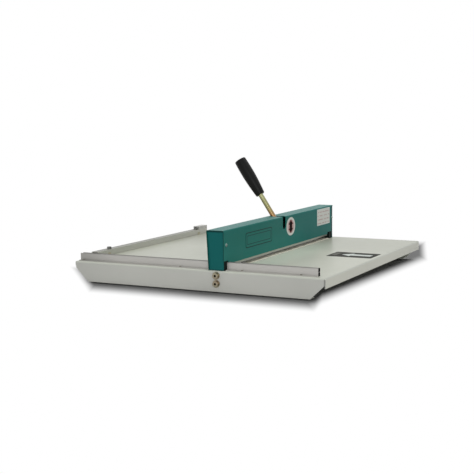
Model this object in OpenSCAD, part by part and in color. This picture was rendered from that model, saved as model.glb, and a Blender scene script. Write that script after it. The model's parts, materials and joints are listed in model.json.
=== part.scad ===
// Table-top lever guillotine for creasing and cutting sheets of paper.
// X runs along the blade, -Y is the operator's side, +Z is up. The origin is at the
// middle of the table, on the surface that the rubber feet stand on.

/* [Table] */
// Width of the table, along the blade
table_w = 600; // [560:5:640]
// Depth of the table, front to back
table_d = 580; // [540:5:620]
// Height of the table top
table_z = 46; // [44:1:50]
// Thickness of the table's steel sheet
sheet = 1.5; // [1:0.25:2]
// Height of the rubber feet
foot_h = 3; // [2:0.5:5]
// Depth of the lip on the operator's side
front_lip = 20.8; // [15:0.2:26]
// Depth of the lip at the back
rear_lip = 10; // [8:1:20]
// Length of the chamfer at each lower corner of the side flanges
corner_y = 32; // [20:1:40]
// Height of that chamfer
corner_z = 30; // [20:1:34]

/* [Cover] */
// Height of the cover above the table
cover_h = 81.2; // [78:0.1:84]
// Width of the cover, front to back
cover_w = 35.2; // [35.2:0.2:38]
// Distance from the table's middle to the cover's middle
cover_offset = 54.6; // [50:0.2:60]
// Thickness of the cover's sheet
cover_t = 1.2; // [1:0.1:1.4]
// Height of the cover's lower edge above the table
cover_gap = 12.5; // [11:0.5:14]
// How far the cover's far end stops short of the table's edge
far_inset = 14.5; // [12:0.5:24]
// How much further back the cover's rear wall stands at its top than at the table
cover_flare = 4.2; // [0:0.2:5]
// Width of the slot for the lever
slot_w = 16; // [14:0.5:20]

/* [Drive] */
// Height of the drive shaft above the floor
pivot_z = 113; // [112:0.5:114]
// Diameter of the drive shaft
shaft_d = 12; // [10:0.5:12]
// Swing of the lever in degrees
swing = 125; // [110:1:125]
// Travel of the blade bar
stroke = 6.2; // [5.6:0.1:6.2]
// Radius of the cams where the bar is up
cam_base = 8.8; // [8.6:0.1:9]
// Width of each cam
cam_w = 12; // [8:1:16]
// Distance from the cover's middle to each cam
cam_reach = 190; // [150:5:210]
// Gap between the resting blade and the die strips
paper_gap = 5; // [4.9:0.1:5.2]

/* [Lever] */
// Lean of the resting lever, back from upright, in degrees
lean = 33.6; // [28:0.2:34]
// Diameter of the lever rod
rod_d = 11; // [9:0.5:11]
// Distance from the shaft to the foot of the grip
grip_start = 74.5; // [65:0.5:90]
// Length of the grip
grip_l = 92.5; // [80:0.5:100]
// Diameter of the grip at its foot
grip_foot_d = 20.4; // [16:0.1:21]
// Largest diameter of the grip
grip_belly_d = 28; // [24:0.2:29]
// Diameter of the grip at its top
grip_top_d = 26; // [22:0.2:27]

/* [Fences and gauge] */
// Height of the side fences
fence_h = 16; // [14:0.5:18]
// Thickness of the side fences
fence_t = 10; // [9:0.5:12]
// Distance from the table's side to the fences
fence_inset = 13; // [12:0.5:16]
// Height of the back gauge's bar
gauge_h = 12.8; // [12:0.2:16]
// Depth of the back gauge's bar
gauge_d = 16; // [15:0.5:18]
// Position of the gauge's face behind the middle of the table
gauge_y = 270; // [200:1:271]

/* [Hidden] */
$fn = 48;
eps = 0.01;             // overshoot of a cutting shape
seat = 0.02;            // clearance of a pin in its own body's hole
run = 0.05;             // clearance of a running fit
clear = 0.3;            // clearance between parts that pass each other

half_w = table_w / 2;
half_d = table_d / 2;
bend_r = 2 * sheet;
return_w = 22;          // inward return along the foot of each side flange
foot_r = 10;
foot_x = half_w - 12;
foot_y = 240;

cy = -cover_offset;     // middle plane of the cover and the blade
near_x = -half_w;
far_x = half_w - far_inset;
cx = (near_x + far_x) / 2;
cover_top = table_z + cover_h;
cover_in_w = cover_w - 2 * cover_t;
cover_r = 2.5;
notch_w = 20;
notch_z = table_z + 19.5;
far_notch_w = 35;
far_notch_z = table_z + 17;
strip_w = 12;           // width of the far end plate's own front face
strip_foot_w = 4.5;     // width of that face below the notch
plate_face_set = 0.3;   // how far that face lies behind the cover's front
slot_foot_z = 99;

plate_t = 1.4;          // end plates
plate_set = 2.4;        // how deep the end plates sit in the cover
plate_crack = 0.7;      // gap between an end plate and the cover's sheet
block_out = near_x + plate_t + plate_set;
block_in = near_x + 21;
block_top = cover_top - cover_t - 1.5;
block_edge = 3.5;       // chamfer of the end frames' upper edges
groove_w = 10;
groove_depth = 10;
groove_z0 = table_z + 4;
groove_z1 = 98;
cover_screw_z = 97;
cover_screw_x = 288.5;  // distance of the near cover screws from the middle
far_screw_x = 278.6;

beam_w = 50;
beam_z0 = 8;
beam_wall = 3;
beam_top = table_z - sheet;
port_z = [19.5, 36];    // heights of the beam's screw ports
port_r = 4;             // M8 thread
boss_r = 7;
frame_screw_y = 11.5;

die_top = table_z + 0.6;
die_gap = 2;            // channel that the blade enters
die_screw_n = 5;
die_screw_y = 9.5;

tip_z = die_top + paper_gap;
bar_x0 = block_in + clear;
bar_x1 = 2 * cx - bar_x0;
bar_z0 = tip_z + 6.4;
bar_z1 = 96;
bar_front = 8.4;        // reach of the bar in front of the blade plane
bar_back = 8.6;
blade_t = 1;
blade_h = 20;
blade_x0 = block_in + 9;
blade_x1 = 2 * cx - blade_x0;
clamp_z1 = 75.5;
tooth_pitch = 5;
tooth_gap = 1.2;
tooth_h = 1.6;
clamp_screw_n = 8;
tongue_z0 = 74;
tongue_l = 9.9;
pad_z = pivot_z - cam_base - clear;
button_r = 8;

cam_rise = stroke / (swing * PI / 180);     // lift per radian of lever swing
cam_first = 270;
cam_last = 270 - swing;
hub_r = 11;
hub_w = 20;
hub_pin_x = 6.5;
collar_w = 8;
shaft_x0 = block_out + 3;
shaft_x1 = 2 * cx - shaft_x0;

spring_r = 3.7;
spring_wire = 1.3;
spring_turns = 6;

infeed_y = [-270, cy - cover_w / 2 - 0.4];
outfeed_y = [cy + cover_w / 2 + flare(table_z + fence_h) + 0.4, 285];
fence_x = -half_w + fence_inset;
fence_screw_y = [-235.5, -107.5, 34.6, 276];

gauge_x0 = -245;
gauge_x1 = 254;
gauge_wall = 1.6;
gauge_rib = 8;          // inner width of the front chamber
gauge_z0 = table_z + clear;
gauge_top = table_z + gauge_h;
knob_x = [-192, 205];
magnet_x = [-199, 210];
knob_y = gauge_y + gauge_wall + gauge_rib / 2;
knob_r = 5;
knob_h = 4.8;
block_x0 = 211;
block_h = 7.2;

// ---- shared shapes ----

// Upright arch with rounded upper corners, centred on the first axis
module arch(w, z0, z1, r) {
    translate([-w / 2, z0]) square([w, z1 - z0 - r]);
    translate([-w / 2 + r, z0]) square([w - 2 * r, z1 - z0]);
    for (s = [-1, 1]) translate([s * (w / 2 - r), z1 - r]) circle(r);
}

// Outline in the YZ plane pushed along X from x0 to x1
module along_x(x0, x1) {
    translate([x0, 0, 0]) rotate([90, 0, 90]) linear_extrude(x1 - x0) children();
}

// Outline in the XZ plane pushed along Y from y0 to y1
module along_y(y0, y1) {
    translate([0, y1, 0]) rotate([90, 0, 0]) linear_extrude(y1 - y0) children();
}

// Cylinder along X
module rod_x(x0, x1, r) {
    translate([x0, 0, 0]) rotate([0, 90, 0]) cylinder(h = x1 - x0, r = r);
}

// Puts a shape and its mirror image at both ends of the cover
module both_ends() {
    children();
    translate([2 * cx, 0, 0]) mirror([1, 0, 0]) children();
}

// Socket screw pointing down -Z from its seat at the origin
module socket_screw(r, l, head_r, head_h, key) {
    difference() {
        union() {
            translate([0, 0, -l]) cylinder(h = l, r = r - seat);
            cylinder(h = head_h - 0.6, r = head_r);
            translate([0, 0, head_h - 0.6]) cylinder(h = 0.6, r1 = head_r, r2 = head_r - 0.6);
        }
        translate([0, 0, head_h * 0.4]) cylinder(h = head_h, d = key, $fn = 6);
    }
}

// Countersunk screw whose flat head ends at the origin, shank down -Z
module flat_screw(r, l, head_r) {
    difference() {
        union() {
            translate([0, 0, -l]) cylinder(h = l, r = r - seat);
            translate([0, 0, -(head_r - r)]) cylinder(h = head_r - r, r1 = r - seat, r2 = head_r - seat);
        }
        for (a = [0, 90]) rotate(a) cube([head_r * 1.1, 0.7, 1.6], center = true);
    }
}

// Hole that such a screw sits in
module flat_hole(r, l, head_r) {
    translate([0, 0, -l]) cylinder(h = l + eps, r = r);
    translate([0, 0, -(head_r - r)]) cylinder(h = head_r - r + eps, r1 = r, r2 = head_r + eps);
}

// Domed screw pointing down -Z, with a cross recess
module pan_screw(r, l, head_r, head_h) {
    ball_r = (head_r * head_r + head_h * head_h) / (2 * head_h);
    difference() {
        union() {
            translate([0, 0, -l]) cylinder(h = l, r = r - seat);
            intersection() {
                translate([0, 0, head_h - ball_r]) sphere(ball_r);
                cylinder(h = head_h, r = head_r);
            }
        }
        for (a = [0, 90]) rotate(a) translate([0, 0, head_h])
            cube([head_r * 1.2, 0.7, 1.4], center = true);
    }
}

// ---- table ----

module fold_box(inset, r) {
    intersection() {
        along_y(-half_d + inset, half_d - inset)
            arch(table_w - 2 * inset, foot_h - eps, table_z - inset, r);
        along_x(-half_w + inset, half_w - inset)
            arch(table_d - 2 * inset, foot_h - eps, table_z - inset, r);
    }
}

module table_tray() color("gainsboro") {
    difference() {
        union() {
            difference() {
                fold_box(0, bend_r);
                fold_box(sheet, bend_r - sheet);
            }
            for (s = [-1, 1]) translate([s * (half_w - return_w / 2 - sheet / 2), 0, foot_h + sheet / 2])
                cube([return_w - sheet + 2 * eps, table_d - 2 * corner_y, sheet], center = true);
        }
        // the lips end well above the side flanges
        lip_cut(-half_d - 1, table_z - front_lip);
        lip_cut(half_d - sheet, table_z - rear_lip);
        for (s = [0, 1]) mirror([0, s, 0]) along_x(-half_w - 1, half_w + 1) polygon([
            [-half_d + sheet - eps, foot_h - 1],
            [-half_d + sheet - eps, foot_h + corner_z * (1 - sheet / corner_y)],
            [-half_d + corner_y, foot_h],
            [-half_d + corner_y, foot_h - 1]
        ]);
        // opening for the end frames and the die strips
        translate([block_out - 0.2, cy - cover_in_w / 2 - 0.8, beam_top - 1])
            cube([2 * (cx - block_out + 0.2), cover_in_w + 1.6, sheet + 2]);
        for (z = port_z) translate([0, cy, z]) rod_x(-half_w - 1, half_w + 1, port_r + 0.5);
        for (x = [-foot_x, foot_x], y = [-foot_y, foot_y]) translate([x, y, 0]) cylinder(h = 10, r = 2);
        for (y = fence_screw_y) translate([fence_x - 3, y, beam_top - 1]) cylinder(h = 4, r = 1.5);
    }
}

module lip_cut(y0, z1) {
    translate([-half_w - 1, y0, foot_h - 1]) cube([table_w + 2, sheet + 1, z1 - foot_h + 1]);
}

module rubber_feet() color("black") for (x = [-foot_x, foot_x], y = [-foot_y, foot_y])
    translate([x, y, 0]) rotate_extrude() polygon([
        [2, 1.6], [4.5, 1.6], [4.5, 0], [foot_r - 0.8, 0], [foot_r, 0.8],
        [foot_r - 0.6, foot_h], [2, foot_h]
    ]);

module foot_screws() color("silver") for (x = [-foot_x, foot_x], y = [-foot_y, foot_y])
    translate([x, y, 1.6]) rotate([180, 0, 0]) pan_screw(2, 8, 3.8, 1.2);

// ---- bed beam ----

module bed_beam() color("silver") {
    mid_z = (beam_z0 + beam_top) / 2;
    difference() {
        along_x(-half_w + sheet, half_w - sheet) difference() {
            translate([cy, mid_z]) square([beam_w, beam_top - beam_z0], center = true);
            difference() {
                for (s = [-1, 1]) translate([cy + s * (beam_w / 2 - beam_wall / 2 + 1.5) / 2, mid_z])
                    square([beam_w / 2 - beam_wall - 1.5, beam_top - beam_z0 - 2 * beam_wall], center = true);
                for (z = port_z) translate([cy, z]) circle(boss_r);
            }
            for (z = port_z) translate([cy, z]) circle(port_r);
        }
        frame_screw_places() {
            translate([0, 0, -beam_wall - 1]) cylinder(h = beam_wall + 2, r = 2.6);
            translate([0, 0, beam_z0 - beam_top - 1]) cylinder(h = beam_wall + 2, r = 5.5);
        }
        die_screw_places() translate([0, 0, -beam_wall - 1]) cylinder(h = beam_wall + 2, r = 1.6);
        // room for the fold inside the tray's sides
        for (s = [-1, 1]) translate([s * (half_w - sheet), cy, beam_top]) rotate([0, 45, 0])
            cube([2.6, beam_w + 2, 2.6], center = true);
    }
}

// Seats on top of the beam
module frame_screw_places() for (s = [-1, 1]) both_ends()
    translate([(block_out + block_in) / 2, cy + s * frame_screw_y, beam_top]) children();

module die_screw_places() for (s = [-1, 1], i = [0 : die_screw_n - 1])
    translate([bar_x0 + 30 + i * (bar_x1 - bar_x0 - 60) / (die_screw_n - 1), cy + s * die_screw_y, beam_top])
        children();

module frame_screws() color("dimgray") frame_screw_places()
    translate([0, 0, -beam_wall]) rotate([180, 0, 0]) socket_screw(2.5, beam_wall + 9, 4.2, 5, 4.6);

// The beam's end screws go through the side flanges, at both sides of the table
module port_places() for (s = [0, 1], z = port_z) mirror([s, 0, 0])
    translate([-half_w, cy, z]) rotate([0, -90, 0]) children();

module flange_washers() color("goldenrod") port_places() difference() {
    cylinder(h = 1.6, r = 7.9);
    translate([0, 0, -1]) cylinder(h = 4, r = port_r + 0.3);
}

module flange_screws() color("darkgoldenrod") port_places()
    translate([0, 0, 1.6]) rotate(30) socket_screw(port_r, 24, 6.2, 4.6, 5.8);

// ---- end frames, die strips and cover ----

module end_frame() {
    face = cover_in_w / 2;
    shoulder_z = block_top - block_edge;
    difference() {
        translate([0, cy, 0]) along_x(block_out, block_in) polygon([
            [-face, beam_top], [face, beam_top], [face, table_z],
            [face + flare(shoulder_z), shoulder_z], [face + flare(shoulder_z) - block_edge, block_top],
            [block_edge - face, block_top], [-face, shoulder_z]
        ]);
        translate([block_in - groove_depth, cy - groove_w / 2, groove_z0])
            cube([groove_depth + 1, groove_w, groove_z1 - groove_z0]);
        translate([0, cy, pivot_z]) rod_x(block_out - 1, block_in + 1, 8);
        for (s = [-1, 1]) translate([(block_out + block_in) / 2, cy + s * frame_screw_y, beam_top - 1])
            cylinder(h = 12, r = 2.5);
    }
}

module near_end_frame() color("#202322") difference() {
    end_frame();
    cover_screw_places() translate([0, 0, -9]) cylinder(h = 9, r = 2);
}

module far_end_frame() color("#202322") difference() {
    translate([2 * cx, 0, 0]) mirror([1, 0, 0]) end_frame();
    cover_screw_places() translate([0, 0, -9]) cylinder(h = 9, r = 2);
}

// One half of the anvil: a long strip with a chamfered outer edge and the screws' seats
module die_strip(s) {
    outer = cover_in_w / 2 + 0.6;
    difference() {
        translate([0, cy, 0]) along_x(bar_x0, bar_x1) polygon([
            [s * die_gap / 2, beam_top], [s * outer, beam_top], [s * outer, table_z],
            [s * (outer - 1.2), die_top], [s * (die_gap / 2 + 0.2), die_top], [s * die_gap / 2, die_top - 0.2]
        ]);
        die_screw_places() translate([0, 0, die_top - beam_top]) flat_hole(1.6, 4, 3);
    }
}

module front_die_strip() color("#c3b489") die_strip(-1);
module rear_die_strip() color("#c3b489") die_strip(1);

module die_screws() color("silver") die_screw_places()
    translate([0, 0, die_top - beam_top]) flat_screw(1.6, 6, 3);

// How far the rear wall stands out at a height
function flare(z) = cover_flare * (z - table_z) / cover_h;

// Section of the cover, with rounded upper corners and a rear wall that leans outwards
module cover_outline(w, z0, z1, r) {
    side_z = z1 - r;
    polygon([
        [-w / 2, z0], [w / 2 + flare(z0), z0], [w / 2 + flare(side_z), side_z],
        [w / 2 + flare(side_z) - r, z1], [r - w / 2, z1], [-w / 2, side_z]
    ]);
    translate([r - w / 2, side_z]) circle(r);
    translate([w / 2 + flare(side_z) - r, side_z]) circle(r);
}

module cover_shell() color("#235f58") difference() {
    translate([0, cy, 0]) along_x(near_x, far_x) difference() {
        cover_outline(cover_w, table_z, cover_top, cover_r);
        cover_outline(cover_in_w, table_z - 1, cover_top - cover_t, cover_r - cover_t);
    }
    // the lower edge stays above the table, apart from a leg at the near end of the rear wall
    translate([near_x + notch_w, cy - cover_w, table_z - 1])
        cube([far_x - near_x, 2 * cover_w, cover_gap + 1]);
    // notches at the lower corners
    translate([near_x - 1, cy - cover_w, table_z - 1])
        cube([notch_w + 1 + eps, cover_w, notch_z - table_z + 1]);
    translate([far_x - far_notch_w, cy - cover_w, table_z])
        cube([far_notch_w + 1, 2 * cover_w, far_notch_z - table_z]);
    // the far end plate's own face takes this place
    translate([far_x - strip_w, cy - cover_w, table_z]) cube([strip_w + 1, cover_w, cover_h - cover_r]);
    lever_slot();
    cover_screw_places() cylinder(h = 8, r = 2.2, center = true);
}

// Seats of the cover's screws, with +Z pointing out of each wall
module cover_screw_places() {
    rear_y = cy + cover_w / 2 + flare(cover_screw_z);
    translate([-cover_screw_x, cy - cover_w / 2, cover_screw_z]) rotate([90, 0, 0]) children();
    translate([far_screw_x, cy - cover_w / 2 + plate_face_set, cover_screw_z]) rotate([90, 0, 0]) children();
    for (x = [-cover_screw_x, far_screw_x]) translate([x, rear_y, cover_screw_z])
        rotate([-90 - atan(cover_flare / cover_h), 0, 0]) children();
}

// Slot along the top and down the front, with a round foot
module lever_slot() {
    slot_back = cy + cover_in_w / 2;
    translate([cx - slot_w / 2, cy - cover_w, slot_foot_z + slot_w / 2])
        cube([slot_w, cover_w - cover_in_w / 2 + 4, 60]);
    translate([cx - slot_w / 2, cy - cover_w, cover_top - cover_t - 3])
        cube([slot_w, slot_back - cy + cover_w, 20]);
    translate([cx, cy, slot_foot_z + slot_w / 2]) rotate([90, 0, 0]) cylinder(h = cover_w, r = slot_w / 2);
}

module end_plate() {
    translate([0, cy, 0]) along_x(near_x + plate_set, block_out)
        cover_outline(cover_in_w - 2 * plate_crack, table_z, cover_top - cover_t - plate_crack, 2);
}

module near_end_plate() color("#1a5454") end_plate();

module far_end_plate() color("#1a5454") {
    translate([2 * cx, 0, 0]) mirror([1, 0, 0]) end_plate();
    difference() {
        translate([far_x - strip_w + 0.4, cy - cover_w / 2 + plate_face_set, far_notch_z])
            cube([strip_w - 0.4 - plate_set, cover_t - plate_face_set, cover_top - cover_r - far_notch_z]);
        cover_screw_places() cylinder(h = 8, r = 2.2, center = true);
    }
    translate([far_x - plate_set - strip_foot_w, cy - cover_w / 2 + plate_face_set, table_z])
        cube([strip_foot_w, cover_t - plate_face_set, far_notch_z - table_z + eps]);
}

module cover_screws() color("silver") cover_screw_places() pan_screw(2, 7, 3.9, 2.4);

// Finger guard spot-welded inside the cover, with its lower edge rolled inwards
module guard(s, x1) {
    roll_z = table_z + 9.1;
    weld_z = roll_z + 13;
    foot = cover_in_w / 2 + (s > 0 ? flare(roll_z) : 0);
    head = cover_in_w / 2 + (s > 0 ? flare(weld_z) : 0);
    translate([0, cy, 0]) along_x(block_in + 0.2, x1) {
        polygon([
            [s * (foot - 1.2), roll_z], [s * foot, roll_z],
            [s * head, weld_z], [s * (head - 1.2), weld_z]
        ]);
        translate([s * (foot - 1.2), roll_z]) circle(1.2);
    }
}

module front_guard() color("#b9bab3") guard(-1, far_x - far_notch_w);
module rear_guard() color("#b9bab3") guard(1, far_x - far_notch_w);

// ---- fences ----

// Extrusion with a chamber, an open groove above it and a foot flange for its screws
module fence_outline() {
    wall = 0.8;
    chamber_h = fence_h * 0.45;
    inner = fence_t - 2 * wall;
    difference() {
        union() {
            square([fence_t, fence_h]);
            translate([-6, 0]) square([6.5, 1.6]);
        }
        translate([wall, wall]) square([inner, chamber_h]);
        translate([wall, chamber_h + 2 * wall]) square([inner, fence_h]);
    }
}

module fence(span) {
    difference() {
        along_y(span[0], span[1]) translate([fence_x, table_z]) fence_outline();
        for (y = fence_screw_y) translate([fence_x - 3, y, table_z - 1]) cylinder(h = 4, r = 1.6);
    }
}

module infeed_fence() color("#a5a3a0") fence(infeed_y);
module outfeed_fence() color("#a5a3a0") fence(outfeed_y);

module fence_screws() color("#6b5a3c") for (y = fence_screw_y)
    translate([fence_x - 3, y, table_z + 1.6]) pan_screw(1.5, 5, 2.6, 1.7);

// ---- drive ----

module shaft_bushes() color("#b08d57") both_ends() translate([0, cy, pivot_z]) difference() {
    union() {
        rod_x(block_out + 2, block_in, 8 - seat);
        rod_x(block_in, block_in + 1.5, 10);
    }
    rod_x(block_out, block_in + 3, shaft_d / 2 + run);
}

// Coil rings for the two return springs under the bar's tongues
function coil_ring(t, sides) = [for (j = [0 : sides - 1]) let (a = 360 * j / sides) [
    (spring_r + spring_wire / 2 * cos(a)) * cos(t),
    (spring_r + spring_wire / 2 * cos(a)) * sin(t),
    t / (360 * spring_turns) * (tongue_z0 - groove_z0 - spring_wire - 0.4) + spring_wire / 2 * sin(a)
]];

module coil(sides = 6, steps = 12) {
    rings = spring_turns * steps;
    points = [for (i = [0 : rings]) each coil_ring(i * 360 / steps, sides)];
    faces = [
        [for (j = [sides - 1 : -1 : 0]) j],
        for (i = [0 : rings - 1], j = [0 : sides - 1], k = [0, 1]) let (
            a = i * sides + j,
            b = i * sides + (j + 1) % sides
        ) k == 0 ? [a, b, b + sides] : [a, b + sides, a + sides],
        [for (j = [0 : sides - 1]) rings * sides + j]
    ];
    polyhedron(points, faces);
}

module return_springs() color("silver") both_ends()
    translate([block_in - groove_depth / 2 - 0.2, cy, groove_z0 + spring_wire / 2 + 0.2]) coil();

module drive_shaft() color("silver") difference() {
    translate([0, cy, pivot_z]) {
        rod_x(shaft_x0 + 1, shaft_x1 - 1, shaft_d / 2);
        rod_x(shaft_x0, shaft_x1, shaft_d / 2 - 1);
    }
    drive_pin_places() translate([0, 0, 4.2]) cylinder(h = 3, r = 2);
}

// Three grub screws: one in each cam and one in the lever hub
module drive_pin_places() {
    for (s = [-1, 1]) translate([cx + s * cam_reach, cy, pivot_z]) rotate([-45, 0, 0]) children();
    translate([cx + hub_pin_x, cy, pivot_z]) rotate([-90, 0, 0]) children();
}

module drive_pins() color("#303030") drive_pin_places() translate([0, 0, 4.2]) difference() {
    cylinder(h = 4.3, r = 2 - seat);
    translate([0, 0, 2.6]) cylinder(h = 2, d = 2.3, $fn = 6);
}

module lever_hub() color("#8b8d8a") translate([0, cy, pivot_z]) difference() {
    union() {
        rod_x(cx - hub_w / 2, cx + hub_w / 2, hub_r - 1);
        rod_x(cx - hub_w / 2 + 1, cx + hub_w / 2 - 1, hub_r);
    }
    rod_x(cx - hub_w, cx + hub_w, shaft_d / 2 + seat);
    translate([cx, 0, 0]) rotate([-lean, 0, 0]) cylinder(h = 20, r = 4);
    translate([cx + hub_pin_x, 0, 0]) rotate([-90, 0, 0]) cylinder(h = 20, r = 2);
}

// Flat-follower cam whose lift grows evenly with the angle, so its flank is an involute
function cam_lift(a) = cam_base + cam_rise * (cam_first - a) * PI / 180;
function cam_point(a) = [
    cam_lift(a) * cos(a) + cam_rise * sin(a),
    cam_lift(a) * sin(a) - cam_rise * cos(a)
];

module cam(x0, x1) {
    heel = cam_point(cam_last);
    heel_dir = atan2(heel[1], heel[0]) - acos(cam_base / norm(heel));
    flank = [for (i = [0 : 25]) cam_point(cam_first - i * swing / 25)];
    difference() {
        union() {
            rod_x(x0, x1, cam_base);
            along_x(x0, x1) polygon(concat([[0, 0]], flank, [cam_base * [cos(heel_dir), sin(heel_dir)]]));
        }
        rod_x(x0 - 1, x1 + 1, shaft_d / 2 + seat);
    }
}

module placed_cam(s) difference() {
    middle = cx + s * cam_reach;
    translate([0, cy, pivot_z]) cam(middle - cam_w / 2, middle + cam_w / 2);
    drive_pin_places() cylinder(h = 20, r = 2);
}

module near_cam() color("#5d6062") placed_cam(-1);
module far_cam() color("#5d6062") placed_cam(1);

module shaft_collars() color("#303030") both_ends() translate([0, cy, pivot_z]) difference() {
    rod_x(block_in + 1.8, block_in + 1.8 + collar_w, 9.5);
    rod_x(block_in, block_in + 20, shaft_d / 2 + seat);
    translate([block_in + 1.8 + collar_w / 2, 0, 7]) cylinder(h = 4, r = 2);
}

// Shapes along the lever, which starts at the shaft's axis
module lever_line() translate([cx, cy, pivot_z]) rotate([-lean, 0, 0]) children();

module lever_rod() color("#b7a95a") lever_line() {
    translate([0, 0, 6.4]) cylinder(h = 6, r = 4 - seat);
    translate([0, 0, hub_r + 0.1]) cylinder(h = 0.8, r1 = rod_d / 2 - 0.8, r2 = rod_d / 2);
    translate([0, 0, hub_r + 0.9]) cylinder(h = grip_start + 68 - hub_r, r = rod_d / 2);
}

function grip_r(u) = u < 0.64
    ? grip_foot_d / 2 + (grip_belly_d - grip_foot_d) / 2 * sin(90 * u / 0.64)
    : grip_belly_d / 2 - (grip_belly_d - grip_top_d) / 2 * pow((u - 0.64) / 0.36, 2);

module lever_grip() color("#1c1c1a") lever_line() translate([0, 0, grip_start]) difference() {
    rotate_extrude($fn = 64) polygon(concat(
        [[0, 0], [grip_foot_d / 2 - 0.8, 0]],
        [for (i = [0 : 14]) let (u = 0.01 + 0.975 * i / 14) [grip_r(u), grip_l * u]],
        [[grip_top_d / 2 - 0.9, grip_l], [0, grip_l]]
    ));
    translate([0, 0, -1]) cylinder(h = 71, r = rod_d / 2 + seat);
}

// ---- blade bar ----

module blade_bar() color("#9fa3a2") difference() {
    union() {
        translate([0, cy, 0]) along_x(bar_x0, bar_x1) difference() {
            translate([-bar_front, bar_z0]) square([bar_front + bar_back, bar_z1 - bar_z0]);
            // rebate for the blade and its clamp
            translate([-bar_front - 1, bar_z0 - 1])
                square([bar_front + 1 + blade_t / 2, clamp_z1 + 1.5 - bar_z0]);
            for (y = [-bar_front, bar_back]) translate([y, bar_z1]) rotate(45) square(1.6, center = true);
        }
        both_ends() translate([bar_x0 - tongue_l, cy - groove_w / 2 + clear, tongue_z0])
            cube([tongue_l + eps, groove_w - 2 * clear, bar_z1 - tongue_z0]);
    }
    clamp_screw_places() cylinder(h = 30, r = 2, center = true);
    button_places() translate([0, 0, -12]) cylinder(h = 13, r = 4);
}

module button_places() for (s = [-1, 1]) translate([cx + s * cam_reach, cy, bar_z1]) children();

module clamp_screw_places() for (i = [0 : clamp_screw_n - 1])
    translate([blade_x0 + 25 + i * (blade_x1 - blade_x0 - 50) / (clamp_screw_n - 1), cy, 67])
        rotate([90, 0, 0]) children();

// Toothed blade with a bevel on both faces
module cutting_blade() color("#c9cccd") {
    teeth = floor((blade_x1 - blade_x0) / tooth_pitch);
    blade_z1 = tip_z + blade_h;
    difference() {
        intersection() {
            along_y(cy - blade_t / 2, cy + blade_t / 2) difference() {
                translate([blade_x0, tip_z]) square([blade_x1 - blade_x0, blade_h]);
                for (i = [1 : teeth - 1]) translate([blade_x0 + i * tooth_pitch, tip_z]) polygon([
                    [-tooth_gap / 2 - 0.5, -eps], [tooth_gap / 2 + 0.5, -eps],
                    [tooth_gap / 2, tooth_h], [-tooth_gap / 2, tooth_h]
                ]);
            }
            translate([0, cy, 0]) along_x(blade_x0 - 1, blade_x1 + 1) polygon([
                [-0.1, tip_z], [0.1, tip_z], [blade_t / 2, tip_z + 2.2], [blade_t / 2, blade_z1],
                [-blade_t / 2, blade_z1], [-blade_t / 2, tip_z + 2.2]
            ]);
        }
        clamp_screw_places() cylinder(h = 30, r = 2.2, center = true);
    }
}

module blade_clamp() color("#8f9392") difference() {
    translate([0, cy, 0]) along_x(blade_x0, blade_x1) polygon([
        [-blade_t / 2, bar_z0 + 0.4], [-bar_front + 3, bar_z0 + 0.4], [-bar_front, bar_z0 + 3.4],
        [-bar_front, clamp_z1], [-blade_t / 2, clamp_z1]
    ]);
    clamp_screw_places() cylinder(h = 30, r = 2.2, center = true);
}

module clamp_screws() color("#303030") clamp_screw_places()
    translate([0, 0, bar_front]) socket_screw(2, 14, 3.5, 3.2, 3.4);

// Flat-topped buttons that the cams press on
module follower_buttons() color("#b08d57") button_places() {
    translate([0, 0, -9]) cylinder(h = 9.5, r = 4 - seat);
    cylinder(h = pad_z - bar_z1 - 0.6, r = button_r);
    translate([0, 0, pad_z - bar_z1 - 0.6]) cylinder(h = 0.6, r1 = button_r, r2 = button_r - 0.6);
}

// ---- back gauge ----

// Extrusion with a front chamber, an open rear groove and two ribs
module gauge_outline() {
    h = gauge_top - gauge_z0;
    groove = gauge_d - gauge_rib - 3 * gauge_wall;
    difference() {
        square([gauge_d, h]);
        translate([gauge_wall, gauge_wall]) square([gauge_rib, h - 2 * gauge_wall]);
        translate([2 * gauge_wall + gauge_rib, 2 * gauge_wall]) square([groove, h]);
    }
}

module gauge_bar() color("#96968e") difference() {
    along_x(gauge_x0, gauge_x1) translate([gauge_y, gauge_z0]) gauge_outline();
    for (x = knob_x) translate([x, knob_y, gauge_top - 4]) cylinder(h = 6, r = 2.5);
    for (x = magnet_x) translate([x - 6, gauge_y - 1, gauge_z0 - 1])
        cube([12, 1 + gauge_wall + gauge_rib, 7]);
}

module gauge_end_plug() color("#8d8d86") {
    play = 2 * seat;
    translate([gauge_x0 - 1, gauge_y, gauge_z0])
        cube([1, gauge_rib + 2 * gauge_wall, gauge_top - gauge_z0]);
    translate([gauge_x0, gauge_y + gauge_wall + seat, gauge_z0 + gauge_wall + seat])
        cube([12, gauge_rib - play, gauge_top - gauge_z0 - 2 * gauge_wall - play]);
}

// Short folded handle that stands on the bar's far end
module gauge_push_block() color("#c9cac4") translate([block_x0, gauge_y, gauge_top]) difference() {
    cube([gauge_x1 - block_x0, gauge_d, block_h]);
    translate([-1, gauge_d - 9, -1]) cube([gauge_x1 - block_x0 + 2, 7.5, block_h - 0.5]);
}

module gauge_magnets() color("#6b4a2f") for (x = magnet_x)
    translate([x - 6 + seat, gauge_y + 0.2, gauge_z0])
        cube([12 - 2 * seat, gauge_wall + gauge_rib - 0.4, 6 - seat]);

// Knurled thumb nut on a short stem
module gauge_knob(x) translate([x, knob_y, gauge_top]) {
    recess_z = clear + knob_h - 1.5;
    translate([0, 0, -3.8]) cylinder(h = 4.4, r = 2.5 - run);
    difference() {
        translate([0, 0, clear]) cylinder(h = knob_h, r = knob_r);
        for (i = [0 : 17]) rotate(i * 20) translate([knob_r + 0.2, 0, -1]) cylinder(h = 8, r = 0.5, $fn = 16);
        translate([0, 0, recess_z]) cylinder(h = 2, r = 3.4);
    }
    translate([0, 0, recess_z]) rotate(25) translate([-3, -0.7, -eps]) cube([6, 1.4, 0.8]);
}

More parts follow.
